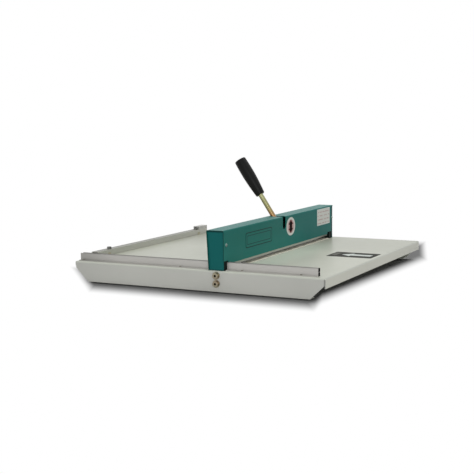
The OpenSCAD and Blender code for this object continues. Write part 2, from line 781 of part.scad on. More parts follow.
module near_gauge_knob() color("#262626") gauge_knob(knob_x[0]);
module far_gauge_knob() color("#262626") gauge_knob(knob_x[1]);

table_tray();
rubber_feet();
foot_screws();
bed_beam();
flange_screws();
flange_washers();
near_end_frame();
far_end_frame();
frame_screws();
front_die_strip();
rear_die_strip();
die_screws();
cover_shell();
near_end_plate();
far_end_plate();
cover_screws();
front_guard();
rear_guard();
infeed_fence();
outfeed_fence();
fence_screws();
shaft_bushes();
return_springs();
drive_shaft();
lever_hub();
near_cam();
far_cam();
drive_pins();
shaft_collars();
lever_rod();
lever_grip();
blade_bar();
cutting_blade();
blade_clamp();
clamp_screws();
follower_buttons();
gauge_bar();
gauge_end_plug();
gauge_push_block();
gauge_magnets();
near_gauge_knob();
far_gauge_knob();
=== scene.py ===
"""Looks of a table-top lever guillotine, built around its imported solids.

X runs along the blade, -Y is the operator's side, +Z is up, in metres.
"""
import json
import math

import bmesh
import bpy
from mathutils import Matrix, Vector


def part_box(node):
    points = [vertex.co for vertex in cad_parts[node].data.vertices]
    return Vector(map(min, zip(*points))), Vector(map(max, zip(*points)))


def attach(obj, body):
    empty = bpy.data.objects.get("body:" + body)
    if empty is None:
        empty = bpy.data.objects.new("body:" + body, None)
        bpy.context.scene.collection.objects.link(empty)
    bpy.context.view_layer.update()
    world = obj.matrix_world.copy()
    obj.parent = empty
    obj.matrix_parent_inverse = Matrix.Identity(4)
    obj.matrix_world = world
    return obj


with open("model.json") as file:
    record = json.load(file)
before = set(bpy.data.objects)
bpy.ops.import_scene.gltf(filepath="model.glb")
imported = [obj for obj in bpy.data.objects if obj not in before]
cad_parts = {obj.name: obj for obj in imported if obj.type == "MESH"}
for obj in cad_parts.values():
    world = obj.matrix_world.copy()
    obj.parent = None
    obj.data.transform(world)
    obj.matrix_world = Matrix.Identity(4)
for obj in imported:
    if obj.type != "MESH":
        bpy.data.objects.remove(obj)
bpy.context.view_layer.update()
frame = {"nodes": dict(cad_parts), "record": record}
NODES = frame["nodes"]
MM = 0.001

# ---- camera ----

CAMERA_PLACE = Vector((-2.0645, -1.0061, 0.3663))
CAMERA_TURN = -62.88      # degrees round +Z, 0 looks along +Y
CAMERA_DIP = 7.18         # degrees below level
CAMERA_ROLL = -0.607      # degrees round the line of sight
CAMERA_LENS = 76.82       # mm


def set_camera():
    data = bpy.data.cameras.new("camera")
    data.lens = CAMERA_LENS
    data.clip_end = 60.0
    camera = bpy.data.objects.new("camera", data)
    bpy.context.scene.collection.objects.link(camera)
    turn = Matrix.Rotation(math.radians(CAMERA_TURN), 4, "Z")
    dip = Matrix.Rotation(math.radians(90.0 - CAMERA_DIP), 4, "X")
    roll = Matrix.Rotation(math.radians(CAMERA_ROLL), 4, "Z")
    camera.matrix_world = Matrix.Translation(CAMERA_PLACE) @ turn @ dip @ roll
    bpy.context.scene.camera = camera


set_camera()

# ---- shader helpers ----

SHARP = 0.05 * MM         # softness of a tone's edge that looks sharp


def linear(r, g, b):
    """A display colour of 0 to 255 as linear values."""
    def one(v):
        v /= 255.0
        return v / 12.92 if v <= 0.04045 else ((v + 0.055) / 1.055) ** 2.4
    return (one(r), one(g), one(b), 1.0)


class Shader:
    """A material with one principled surface, and the few nodes that its finish needs."""

    def __init__(self, name, colour, roughness=0.5, metallic=0.0, **sockets):
        self.material = bpy.data.materials.new(name)
        self.material.use_nodes = True
        self.tree = self.material.node_tree
        self.surface = self.tree.nodes["Principled BSDF"]
        self.colour = colour
        self.surface.inputs["Base Color"].default_value = colour
        self.surface.inputs["Roughness"].default_value = roughness
        self.surface.inputs["Metallic"].default_value = metallic
        for socket, value in sockets.items():
            self.surface.inputs[socket.replace("_", " ")].default_value = value
        self.place = self.node("ShaderNodeTexCoord").outputs["Object"]
        self.paint = None

    def node(self, kind, **settings):
        made = self.tree.nodes.new(kind)
        for key, value in settings.items():
            setattr(made, key, value)
        return made

    def link(self, source, target):
        self.tree.links.new(source, target)

    def noise(self, scale, detail, stretch=(1, 1, 1), roughness=0.5):
        """Noise on the object's own coordinates, finer along an axis with a larger stretch."""
        mapping = self.node("ShaderNodeMapping")
        mapping.inputs["Scale"].default_value = stretch
        self.link(self.place, mapping.inputs["Vector"])
        texture = self.node("ShaderNodeTexNoise")
        texture.inputs["Scale"].default_value = scale
        texture.inputs["Detail"].default_value = detail
        texture.inputs["Roughness"].default_value = roughness
        self.link(mapping.outputs["Vector"], texture.inputs["Vector"])
        return texture.outputs["Fac"]

    def ramp(self, value, stops):
        """Colours between stops, which are (position, colour)."""
        ramp = self.node("ShaderNodeValToRGB")
        elements = ramp.color_ramp.elements
        while len(elements) < len(stops):
            elements.new(0.5)
        for element, (position, colour) in zip(elements, stops):
            element.position = position
            element.color = colour
        self.link(value, ramp.inputs["Fac"])
        return ramp.outputs["Color"]

    def feed(self, node, values):
        """Links or sets the inputs of a node, which are given by their numbers."""
        for socket, value in values.items():
            if isinstance(value, bpy.types.NodeSocket):
                self.link(value, node.inputs[socket])
            else:
                node.inputs[socket].default_value = value

    def mix(self, share, a, b, blend="MIX"):
        """A mix of two colours, which are a Mix node's inputs 6 and 7 and its output 2."""
        mix = self.node("ShaderNodeMix", data_type="RGBA", blend_type=blend)
        self.feed(mix, {0: share, 6: a, 7: b})
        return mix.outputs[2]

    def math(self, operation, a, b=0.5):
        maths = self.node("ShaderNodeMath", operation=operation)
        self.feed(maths, {0: a, 1: b})
        return maths.outputs[0]

    def rest_of(self, share):
        return self.math("SUBTRACT", 1.0, share)

    def tint(self, value, low, high, start=0.3, end=0.7):
        """Colour that drifts between two shades of the base with a pattern."""
        shades = [tuple(min(1.0, c * k) for c in self.colour[:3]) + (1.0,) for k in (low, high)]
        self.set_colour(self.ramp(value, [(start, shades[0]), (end, shades[1])]))

    def set_colour(self, output):
        self.paint = output
        self.link(output, self.surface.inputs["Base Color"])

    def shade(self, mask, factor):
        """Multiplies the colour by a factor, or by one for each channel, where the mask is 1."""
        factors = factor if isinstance(factor, tuple) else (factor, factor, factor)
        self.set_colour(self.mix(mask, self.paint, factors + (1.0,), "MULTIPLY"))

    def shade_boxes(self, tones):
        """Shades boxes, each given as low corner, high corner, factor and blur."""
        for low, high, factor, blur in tones:
            self.shade(self.inside(low, high, blur), factor)

    def axis(self, letter):
        split = self.node("ShaderNodeSeparateXYZ")
        self.link(self.place, split.inputs["Vector"])
        return split.outputs[letter]

    def inside(self, low, high, blurs=SHARP):
        """1 inside a box, 0 outside it; None leaves a side open. A blur may differ by axis."""
        blurs = blurs if isinstance(blurs, tuple) else (blurs, blurs, blurs)
        parts = []
        for letter, start, end, blur in zip("XYZ", low, high, blurs):
            if start is not None:
                parts.append(self.step(self.axis(letter), start, blur))
            if end is not None:
                parts.append(self.rest_of(self.step(self.axis(letter), end, blur)))
        share = parts[0]
        for part in parts[1:]:
            share = self.math("MULTIPLY", share, part)
        return share

    def along(self, direction):
        """How far a place lies along a slanting direction."""
        dot = self.node("ShaderNodeVectorMath", operation="DOT_PRODUCT")
        dot.inputs[1].default_value = direction
        self.link(self.place, dot.inputs[0])
        return dot.outputs["Value"]

    def span(self, value, start, end):
        """0 at a start value and 1 at an end value, on to any distance, and never under 0."""
        ramp = self.node("ShaderNodeMapRange", clamp=False)
        ramp.inputs["From Min"].default_value = start
        ramp.inputs["From Max"].default_value = end
        self.link(value, ramp.inputs["Value"])
        return self.math("MAXIMUM", ramp.outputs["Result"], 0.0)

    def step(self, value, level, blur):
        """0 below a level and 1 above it, with a soft change that reaches a blur to each side."""
        ramp = self.node("ShaderNodeMapRange", interpolation_type="SMOOTHSTEP")
        ramp.inputs["From Min"].default_value = level - blur
        ramp.inputs["From Max"].default_value = level + blur
        self.link(value, ramp.inputs["Value"])
        return ramp.outputs["Result"]

    def set_roughness(self, value, low, high):
        spread = self.node("ShaderNodeMapRange")
        spread.inputs["To Min"].default_value = low
        spread.inputs["To Max"].default_value = high
        self.link(value, spread.inputs["Value"])
        self.link(spread.outputs["Result"], self.surface.inputs["Roughness"])

    def bump(self, value, strength, distance):
        bump = self.node("ShaderNodeBump")
        bump.inputs["Strength"].default_value = strength
        bump.inputs["Distance"].default_value = distance
        self.link(value, bump.inputs["Height"])
        self.link(bump.outputs["Normal"], self.surface.inputs["Normal"])


# ---- finishes ----


def powder_coat(name, colour, roughness, specular, tones, patch=None):
    """Baked paint: fine orange peel and faint cloudiness, lighter or darker in some boxes, mostly
    painted light and shade; a patch can hold a painted reflection.
    """
    s = Shader(name, colour, roughness, Specular_IOR_Level=specular)
    s.tint(s.noise(scale=5.0, detail=4.0), low=0.965, high=1.03)
    s.shade_boxes(tones)
    if patch:
        low, high, other = patch
        s.set_colour(s.mix(s.inside(low, high), s.paint, other))
    clouds = s.noise(scale=38.0, detail=5.0, roughness=0.6)
    s.set_roughness(clouds, roughness - 0.05, roughness + 0.07)
    s.bump(s.noise(scale=1400.0, detail=2.0), strength=0.12, distance=0.12 * MM)
    return s.material


def brushed(name, colour, along, roughness, metallic=1.0, tones=()):
    """Drawn or ground metal with fine streaks along one axis, and boxes in which painted shade
    makes it darker.
    """
    s = Shader(name, colour, roughness, metallic)
    streaks = s.noise(scale=60.0, detail=5.0, stretch=along, roughness=0.65)
    s.tint(streaks, low=0.9, high=1.08, start=0.35, end=0.65)
    s.shade_boxes(tones)
    s.set_roughness(streaks, roughness - 0.08, roughness + 0.1)
    s.bump(streaks, strength=0.25, distance=0.05 * MM)
    return s.material


def passivated(name, gold, olive, rose, tones):
    """Yellow chromate over zinc, which drifts between gold, olive and rose, with painted shade in
    some boxes.
    """
    s = Shader(name, gold, metallic=1.0)
    drift = s.noise(scale=55.0, detail=3.0)
    s.set_colour(s.ramp(drift, [(0.36, olive), (0.5, gold), (0.66, rose)]))
    s.shade_boxes(tones)
    s.set_roughness(s.noise(scale=300.0, detail=4.0), 0.19, 0.36)
    s.bump(s.noise(scale=900.0, detail=2.0), strength=0.1, distance=0.04 * MM)
    return s.material


def lever_plating(name, top, middle, foot, low, high):
    """Plating on the lever rod, which browns towards the slot."""
    s = Shader(name, middle, metallic=1.0)
    height = s.node("ShaderNodeMapRange")
    height.inputs["From Min"].default_value = low
    height.inputs["From Max"].default_value = high
    s.link(s.axis("Z"), height.inputs["Value"])
    wobble = s.math("MULTIPLY", s.noise(scale=90.0, detail=3.0), 0.22)
    share = s.math("ADD", height.outputs["Result"], wobble)
    s.set_colour(s.ramp(share, [(0.12, foot), (0.5, middle), (0.95, top)]))
    s.set_roughness(s.noise(scale=120.0, detail=3.0), 0.2, 0.28)
    s.bump(s.noise(scale=500.0, detail=2.0), strength=0.04, distance=0.03 * MM)
    return s.material


def moulded(name, colour, roughness=0.5, grain=1100.0, specular=0.5):
    """Moulded plastic or rubber with a fine spark-eroded grain."""
    s = Shader(name, colour, roughness, Specular_IOR_Level=specular)
    s.tint(s.noise(scale=30.0, detail=4.0), low=0.88, high=1.14)
    s.set_roughness(s.noise(scale=120.0, detail=3.0), roughness - 0.06, roughness + 0.08)
    s.bump(s.noise(scale=grain, detail=2.0), strength=0.2, distance=0.1 * MM)
    return s.material


def oxide_black(name):
    """Blackened steel, slightly mottled."""
    s = Shader(name, (0.006, 0.012, 0.01, 1.0), Specular_IOR_Level=0.05)
    s.tint(s.noise(scale=160.0, detail=4.0), low=0.7, high=1.5)
    s.set_roughness(s.noise(scale=90.0, detail=3.0), 0.4, 0.6)
    s.bump(s.noise(scale=1500.0, detail=2.0), strength=0.15, distance=0.05 * MM)
    return s.material


def ripple(s):
    """The faint unevenness of a film that is stuck to a painted sheet."""
    s.bump(s.noise(scale=140.0, detail=2.0), strength=0.06, distance=0.2 * MM)


def printed(name, colour, roughness=0.5, specular=0.1):
    """Printed vinyl: smooth with a faint ripple and ink mottle."""
    s = Shader(name, colour, roughness, Specular_IOR_Level=specular)
    s.tint(s.noise(scale=70.0, detail=3.0), low=0.96, high=1.04)
    ripple(s)
    return s.material


# ---- tones: boxes in which a finish is lighter or darker, mostly painted light and shade ----

# Each is a low corner, a high corner, the factor on the colour, and how softly the box ends.
OPEN = (None, None, None)                  # a corner that leaves its three sides open
EDGE = 0.1 * MM                            # softness of a tone that ends at a bend or an edge


def fence_painted_shade():
    """Painted shade on a fence: darker edges, and dark grooves and chamber."""
    section = 10 * MM                      # width of the extrusion
    wall = 0.85 * MM
    skin = 0.05 * MM                       # what stays pale on a face
    tones = []
    # painted shade inside each fence's grooves and chambers
    for node in ("infeed_fence", "outfeed_fence"):
        low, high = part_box(node)
        tones.append(((high.x - section + wall, low.y + skin, low.z + wall),
                      (high.x - wall, high.y - skin, high.z - skin), 0.1, SHARP))
    # painted shade along the top edge
    tones.append(((None, None, high.z - 1.2 * MM), OPEN, 0.85, SHARP))
    # painted shade in the open end that faces the operator, with only the web between its two
    # chambers pale
    low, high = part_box("infeed_fence")
    web = low.z + (high.z - low.z) * 0.48
    half_web = 0.5 * MM
    inner = low.y + 3 * MM                 # how far in the painted shade of a chamber goes
    for bottom, top in ((low.z + 0.3 * MM, web - half_web), (web + half_web, high.z - EDGE)):
        tones.append(((high.x - section + EDGE, None, bottom),
                      (high.x - EDGE, inner, top), 0.02, SHARP))
    # painted shade towards the end by the back gauge
    tones.append(((None, 235 * MM, None), OPEN, 0.7, (EDGE, 60 * MM, EDGE)))
    return tones


def socket_painted_shade():
    """Painted shade inside the sockets in the flange screws' heads."""
    low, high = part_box("flange_screws")
    middle = (low.y + high.y) / 2
    head = 6.2 * MM                        # from a screw's middle to the rim of its head
    key = 2.5 * MM                         # half of the socket's width
    depth = 2.9 * MM
    skin = 0.05 * MM                       # what stays pale at its mouth and its floor
    tones = []
    for start, end in ((low.x, low.x + depth), (high.x - depth, high.x)):
        for z in (low.z + head, high.z - head):
            tones.append(((start + skin, middle - key, z - key),
                          (end - skin, middle + key, z + key), 0.05, SHARP))
    return tones


def tray_painted_light_and_seam():
    """Painted light and shade on the tray: a painted highlight on the near top bend, painted shade
    on the far edge, painted light by the cover; and a corner seam.
    """
    low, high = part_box("table_tray")
    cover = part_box("cover_shell")[0].y
    top = high.z - 0.2 * MM                # over this height there is only the flat top
    side = high.z - 3.3 * MM               # under this height the bends are over
    flange = low.x + 1 * MM
    lip = low.y + 1 * MM
    rear = cover + 60 * MM                 # where the cover hides the table
    return [
        # the top: painted shade at its far end and behind the cover, painted light close to the
        # cover
        ((50 * MM, None, top), OPEN, 0.87, (60 * MM, EDGE, EDGE)),
        ((None, 0, top), OPEN, 0.93, (EDGE, 10 * MM, EDGE)),
        ((-190 * MM, cover - 59 * MM, top), (140 * MM, rear, None), (1.15, 1.2, 1.2),
         (60 * MM, 35 * MM, EDGE)),
        # the near flange: painted light a little cooler, painted shade at both ends, and a corner
        # seam by the lip
        (OPEN, (flange, None, side), (1.015, 0.985, 1.03), EDGE),
        (OPEN, (flange, -200 * MM, side), 0.92, (EDGE, 50 * MM, EDGE)),
        ((None, 250 * MM, None), (flange, None, side), 0.94, (EDGE, 50 * MM, EDGE)),
        ((None, None, low.z), (flange, low.y + 3 * MM, high.z - 3 * MM), 0.5,
         (EDGE, 0.8 * MM, 0.5 * MM)),
        # the lip: painted light a little warmer, painted shade at its far end
        ((flange, None, None), (None, lip, side), (0.985, 0.96, 0.93), EDGE),
        ((220 * MM, None, None), (None, lip, side), 0.92, (60 * MM, EDGE, EDGE)),
        # a painted highlight on the near top bend, then painted shade on the far edge and all that
        # lies towards it
        ((None, None, side), (low.x + 2.8 * MM, None, None), 1.14, EDGE),
        ((high.x - 12 * MM, None, high.z - 1 * MM), OPEN, 0.85, 1 * MM),
        ((150 * MM, None, top), OPEN, 0.88, 150 * MM),
        # painted light: all of the top is a little yellower than the sides, and brighter by the
        # cover
        ((low.x + 4 * MM, None, top), OPEN, (0.99, 0.985, 0.935), EDGE),
        ((low.x + 6 * MM, cover - 45 * MM, high.z - 1 * MM), (None, rear, None), 1.3, 45 * MM),
    ]


def shell_painted_light():
    """Painted shade on the cover's near cut edge, and painted reflection on a front that is warmer
    low and near.
    """
    low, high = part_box("cover_shell")
    front = low.y + 1.2 * MM
    return [
        # painted shade on the cut edge, then painted reflection on the front: its near lower part,
        # its far part and its upper part
        (OPEN, (low.x + 0.3 * MM, None, None), 0.4, EDGE),
        (OPEN, (75 * MM, front, 92 * MM), (1.9, 1.2, 1.22), (80 * MM, EDGE, 20 * MM)),
        ((50 * MM, None, None), (None, front, None), (0.35, 0.93, 0.99), (80 * MM, EDGE, EDGE)),
        ((None, None, 120 * MM), (None, front, None), (0.5, 0.95, 0.97), (EDGE, EDGE, 12 * MM)),
    ]


def plate_painted_shade():
    """Painted shade lines along the end plates' upper and lower edges, and down the far one's edge.
    """
    low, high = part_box("near_end_plate")
    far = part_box("far_end_plate")[1].x
    outer_edge, upper_edge, lower_edge = far - 7.5 * MM, high.z - 2.2 * MM, low.z + 2 * MM
    return [
        ((outer_edge, None, None), OPEN, 0.45, 3 * MM),
        ((None, None, upper_edge), OPEN, 0.45, 0.4 * MM),
        (OPEN, (None, None, lower_edge), 0.6, 0.5 * MM),
    ]


def guard_painted_shade():
    """Painted shade towards the guards' far end, and more so close to it."""
    towards_end, close_to_end = 200 * MM, 228 * MM
    return [
        ((towards_end, None, None), OPEN, 0.5, 30 * MM),
        ((close_to_end, None, None), OPEN, 0.5, 5 * MM),
    ]


def gauge_painted_shade():
    """Painted shade on the upper face of the gauge's bar."""
    return [((None, None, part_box("gauge_bar")[1].z - 0.15 * MM), OPEN, 0.55, SHARP)]


def shell_top_reflection():
    """The cover's upper face, a paler teal than its front: a painted reflection."""
    return ((None, None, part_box("cover_shell")[1].z - 0.2 * MM), OPEN, linear(78, 128, 123))


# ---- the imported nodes' finishes ----

ALONG_X, ALONG_Y, ALONG_Z = (1, 60, 60), (60, 1, 60), (60, 60, 1)
ALL_WAYS = (30, 30, 30)

FINISH = {
    "tray_paint": powder_coat("tray_paint", linear(189, 192, 181), 0.34, specular=0.42,
                              tones=tray_painted_light_and_seam()),
    "foot_rubber": moulded("foot_rubber", (0.018, 0.018, 0.018, 1.0), 0.7),
    "zinc_steel": brushed("zinc_steel", (0.42, 0.42, 0.4, 1.0), ALL_WAYS, 0.3),
    "beam_aluminium": brushed("beam_aluminium", (0.72, 0.72, 0.72, 1.0), ALONG_X, 0.36),
    "yellow_zinc": passivated("yellow_zinc", linear(146, 140, 120), linear(122, 120, 102),
                              linear(138, 124, 106), tones=socket_painted_shade()),
    "black_steel": oxide_black("black_steel"),
    "die_cream": moulded("die_cream", linear(244, 238, 218), 0.55, grain=1300.0),
    "die_steel": brushed("die_steel", (0.5, 0.5, 0.46, 1.0), (1, 50, 50), 0.45),
    "teal_paint": powder_coat("teal_paint", linear(22, 105, 96), 0.45, specular=0.08,
                              tones=shell_painted_light(), patch=shell_top_reflection()),
    "dark_teal_paint": powder_coat("dark_teal_paint", linear(16, 96, 94), 0.45, specular=0.1,
                                   tones=plate_painted_shade()),
    "guard_paint": powder_coat("guard_paint", linear(176, 180, 168), 0.5, specular=0.2,
                               tones=guard_painted_shade()),
    "fence_aluminium": brushed("fence_aluminium", linear(186, 184, 179), ALONG_Y, 0.42,
                               metallic=0.5, tones=fence_painted_shade()),
    "bronze": brushed("bronze", linear(176, 138, 84), ALL_WAYS, 0.35),
    "spring_steel": brushed("spring_steel", (0.42, 0.42, 0.42, 1.0), ALL_WAYS, 0.3),
    "shaft_steel": brushed("shaft_steel", (0.6, 0.6, 0.6, 1.0), ALONG_X, 0.25),
    "cam_steel": brushed("cam_steel", (0.3, 0.31, 0.32, 1.0), ALONG_Y, 0.35),
    "grip_plastic": moulded("grip_plastic", (0.0045, 0.0045, 0.0042, 1.0), 0.42, grain=900.0,
                            specular=0.14),
    "bar_steel": brushed("bar_steel", (0.5, 0.5, 0.5, 1.0), ALONG_X, 0.35),
    "blade_steel": brushed("blade_steel", (0.66, 0.67, 0.68, 1.0), ALONG_Z, 0.22),
    "gauge_aluminium": brushed("gauge_aluminium", linear(190, 190, 181), ALONG_X, 0.42,
                               metallic=0.5, tones=gauge_painted_shade()),
    "plug_plastic": moulded("plug_plastic", linear(120, 119, 112)),
    "knob_steel": brushed("knob_steel", (0.2, 0.2, 0.19, 1.0), ALL_WAYS, 0.4),
    "block_plastic": moulded("block_plastic", linear(188, 187, 182), 0.45, grain=1300.0),
    "magnet_brown": moulded("magnet_brown", linear(172, 166, 142), 0.55),
}


def dress_frame():
    """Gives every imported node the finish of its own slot."""
    for part in frame["record"]["subparts"]:
        node = NODES[part["node"]]
        node.data.materials.clear()
        node.data.materials.append(FINISH[part["material_slot"]])


def rod_plating():
    """The rod's plating, brown by the slot and yellow from a little under the grip."""
    low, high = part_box("lever_rod")
    return lever_plating("rod_plating", top=linear(162, 164, 126), middle=linear(142, 140, 98),
                         foot=linear(158, 112, 78), low=low.z + 5 * MM, high=high.z - 40 * MM)


dress_frame()

# nodes whose finish differs from that of the others in their slot
NODES["lever_rod"].data.materials[0] = rod_plating()
# painted reflection: the cover screws' zinc is tinted with the teal that it reflects
NODES["cover_screws"].data.materials[0] = brushed(
    "teal_reflecting_zinc", (0.17, 0.23, 0.21, 1.0), ALL_WAYS, 0.45)
NODES["fence_screws"].data.materials[0] = brushed(
    "dull_steel", (0.22, 0.21, 0.18, 1.0), ALL_WAYS, 0.5)
NODES["die_screws"].data.materials[0] = brushed(
    "pale_zinc", (0.78, 0.76, 0.68, 1.0), ALL_WAYS, 0.5, metallic=0.2)

# ---- stage ----

WORLD_LEVEL = 0.42        # the light that the white surroundings throw
FLOOR_SEEN = 0.25         # painted shadow: how bright the floor close to the object looks to the camera, darker than to the light it bounces
# where the painted shadow starts to fade and where the floor is white, on the table's four sides
FLOOR_NEAR = (-0.313, -0.405)
FLOOR_FAR = (0.50, 0.66)
FLOOR_FRONT = (0.251, 0.311)
FRONT_WAY = (-0.04, -1.0, 0.0)
FLOOR_REAR = (0.34, 0.44)
# the painted shadow reaches further out in front of the near flange's corner than in front of the
# lip
NEAR_CORNER_WAY = (0.381, -0.925, 0.0)
NEAR_CORNER_EDGE = (0.141, 0.009)
NEAR_CORNER_REACH = 0.018
# and past two of the table's corners it ends along a slanting direction
FLOOR_REAR_CORNER = (0.382, 0.4093)
REAR_CORNER_WAY = (-0.673, 0.74, 0.0)
FLOOR_FAR_CORNER = (0.366, 0.391)
FAR_CORNER_WAY = (0.2966, -0.955, 0.0)


def floor_fade(s):
    """0 on the floor round the table's footprint, where the painted shadow lies, 1 where the floor
    is the backdrop's white.
    """
    across = s.math("MAXIMUM", s.span(s.axis("X"), *FLOOR_NEAR), s.span(s.axis("X"), *FLOOR_FAR))
    corner = s.rest_of(s.step(s.along(NEAR_CORNER_WAY), *NEAR_CORNER_EDGE))
    front = s.math("SUBTRACT", s.along(FRONT_WAY), s.math("MULTIPLY", corner, NEAR_CORNER_REACH))
    along = s.math("MAXIMUM", s.span(front, *FLOOR_FRONT), s.span(s.axis("Y"), *FLOOR_REAR))
    along = s.math("MAXIMUM", along, s.span(s.along(REAR_CORNER_WAY), *FLOOR_REAR_CORNER))
    along = s.math("MAXIMUM", along, s.span(s.along(FAR_CORNER_WAY), *FLOOR_FAR_CORNER))
    return s.step(s.math("MAXIMUM", across, along), 0.5, 0.5)


def lay_floor():
    """A pale floor that keeps the object's shadow close by, darkens it there for the camera as a
    painted shadow, and fades to white around it.
    """
    bpy.ops.mesh.primitive_plane_add(size=40.0, location=(0, 0, 0))
    floor = bpy.context.object
    floor.name = "floor"
    s = Shader("floor_white", (0.9, 0.9, 0.9, 1.0), roughness=0.9, Specular_IOR_Level=0.0)
    s.tint(s.noise(scale=3.0, detail=2.0), low=0.995, high=1.005)
    paths = s.node("ShaderNodeLightPath")
    # painted shadow: the camera sees the floor near the object darker than the light it throws back
    s.shade(paths.outputs["Is Camera Ray"], FLOOR_SEEN)
    seen = s.math("MAXIMUM", paths.outputs["Is Camera Ray"], paths.outputs["Is Glossy Ray"])
    share = s.math("MULTIPLY", seen, floor_fade(s))
    glow = s.node("ShaderNodeEmission")
    glow.inputs["Strength"].default_value = 1.0
    mix = s.node("ShaderNodeMixShader")
    s.link(share, mix.inputs[0])
    s.link(s.surface.outputs["BSDF"], mix.inputs[1])
    s.link(glow.outputs["Emission"], mix.inputs[2])
    s.link(mix.outputs[0], s.tree.nodes["Material Output"].inputs["Surface"])
    floor.data.materials.append(s.material)


def light_world():
    """Even soft light from all round, which the camera, metal and glass see as plain white."""
    world = bpy.data.worlds.new("studio")
    bpy.context.scene.world = world
    world.use_nodes = True
    tree = world.node_tree
    background = tree.nodes["Background"]
    background.inputs["Color"].default_value = (1, 1, 1, 1)
    paths = tree.nodes.new("ShaderNodeLightPath")
    seen = paths.outputs["Is Camera Ray"]
    for ray in ("Is Glossy Ray", "Is Transmission Ray"):
        either = tree.nodes.new("ShaderNodeMath")
        either.operation = "MAXIMUM"
        tree.links.new(seen, either.inputs[0])
        tree.links.new(paths.outputs[ray], either.inputs[1])
        seen = either.outputs[0]
    strength = tree.nodes.new("ShaderNodeMapRange")
    strength.inputs["To Min"].default_value = WORLD_LEVEL
    strength.inputs["To Max"].default_value = 1.0
    tree.links.new(seen, strength.inputs["Value"])
    tree.links.new(strength.outputs["Result"], background.inputs["Strength"])


def lamp(name, place, size, power, colour=(1.0, 1.0, 1.0)):
    """A round soft lamp that is turned to the middle of the table's top."""
    data = bpy.data.lights.new(name, "AREA")
    data.shape = "DISK"
    data.size = size
    data.energy = power
    light = bpy.data.objects.new(name, data)
    bpy.context.scene.collection.objects.link(light)
    light.location = place
    data.color = colour
    light.rotation_mode = "QUATERNION"
    aim = Vector((0, 0, 0.05))
    light.rotation_quaternion = (aim - Vector(place)).to_track_quat("-Z", "Y")


lay_floor()
light_world()
lamp("key", place=(0.5, -0.5, 2.3), size=1.4, power=19.0)
lamp("back", place=(0.6, 1.2, 2.3), size=1.2, power=9.0)
lamp("fill", place=(-2.4, -1.5, 0.8), size=1.4, power=19.0, colour=(0.97, 0.98, 1.0))
bpy.context.scene.view_settings.view_transform = "Standard"

# ---- modelling helpers ----

SMOOTH_ANGLE = math.radians(30.0)
CORNER_STEPS = 5                           # facets round a card's corner
OVAL_POINTS = 48
MERGE = 0.001 * MM                         # points closer than this are one


def choose(thing):
    """Makes a piece the only selected one and the active one."""
    bpy.ops.object.select_all(action="DESELECT")
    thing.select_set(True)
    bpy.context.view_layer.objects.active = thing


def settle(thing, body):
    """Puts the piece's place in its mesh, smooths it and lets it ride."""
    choose(thing)
    bpy.ops.object.transform_apply(location=True, rotation=True, scale=True)
    bpy.ops.object.shade_smooth_by_angle(angle=SMOOTH_ANGLE)
    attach(thing, body)


def open_sheet(name, width, height):
    """Names the sheet just added and sizes it, open in edit mode with all of it selected."""
    thing = bpy.context.object
    thing.name = name
    bpy.ops.object.mode_set(mode="EDIT")
    bpy.ops.mesh.select_all(action="SELECT")
    bpy.ops.transform.resize(value=(width, height, 1.0))
    return thing


def card(name, width, height, corner, thick):
    """A rounded sheet lying face up at the origin, open in edit mode with its top face selected."""
    bpy.ops.object.select_all(action="DESELECT")
    bpy.ops.mesh.primitive_plane_add(size=1.0)
    thing = open_sheet(name, width, height)
    bpy.ops.mesh.select_mode(type="VERT")
    bpy.ops.mesh.select_all(action="SELECT")
    bpy.ops.mesh.bevel(offset=corner, segments=CORNER_STEPS, affect="VERTICES")
    bpy.ops.mesh.select_mode(type="FACE")
    bpy.ops.mesh.select_all(action="SELECT")
    bpy.ops.mesh.extrude_region_move(TRANSFORM_OT_translate={"value": (0, 0, thick)})
    return thing


def disc(name, width, height, thick):
    """An oval sheet lying face up at the origin, open in edit mode with its top face selected."""
    bpy.ops.object.select_all(action="DESELECT")
    bpy.ops.mesh.primitive_circle_add(vertices=OVAL_POINTS, radius=0.5, fill_type="NGON")
    thing = open_sheet(name, width, height)
    bpy.ops.mesh.extrude_region_move(TRANSFORM_OT_translate={"value": (0, 0, thick)})
    return thing


def inlay(thing, width, height, finish):
    """Draws a smaller face inside the selected top face and gives it a finish of its own."""
    picked = [v.co for v in bmesh.from_edit_mesh(thing.data).verts if v.select]
    across = max(c.x for c in picked) - min(c.x for c in picked)
    along = max(c.y for c in picked) - min(c.y for c in picked)
    bpy.ops.mesh.extrude_region_move(TRANSFORM_OT_translate={"value": (0, 0, 0)})
    bpy.ops.transform.resize(value=(width / across, height / along, 1.0))
    # the rim that is left outside keeps the finish that the face had
    outer = len(thing.data.materials) - 1
    for face in [f for f in bmesh.from_edit_mesh(thing.data).faces if f.select]:
        for beside in {f for edge in face.edges for f in edge.link_faces if not f.select}:
            beside.material_index = outer
    bmesh.update_edit_mesh(thing.data)
    thing.data.materials.append(finish)
    thing.active_material_index = len(thing.data.materials) - 1
    bpy.ops.object.material_slot_assign()


def flat_shape(name, outline, thick):
    """A flat outline cut from a sheet, as a mesh at the origin."""
    curve = bpy.data.curves.new(name, "CURVE")
    curve.dimensions = "2D"
    curve.fill_mode = "BOTH"
    curve.extrude = thick / 2
    line = curve.splines.new("POLY")
    line.points.add(len(outline) - 1)
    for point, (x, y) in zip(line.points, outline):
        point.co = (x, y, thick / 2, 1.0)
    line.use_cyclic_u = True
    thing = bpy.data.objects.new(name, curve)
    bpy.context.scene.collection.objects.link(thing)
    choose(thing)
    bpy.ops.object.convert(target="MESH")
    thing = bpy.context.object
    bpy.ops.object.mode_set(mode="EDIT")
    bpy.ops.mesh.select_all(action="SELECT")
    bpy.ops.mesh.remove_doubles(threshold=MERGE)
    bpy.ops.mesh.normals_make_consistent(inside=False)
    bpy.ops.object.mode_set(mode="OBJECT")
    return thing


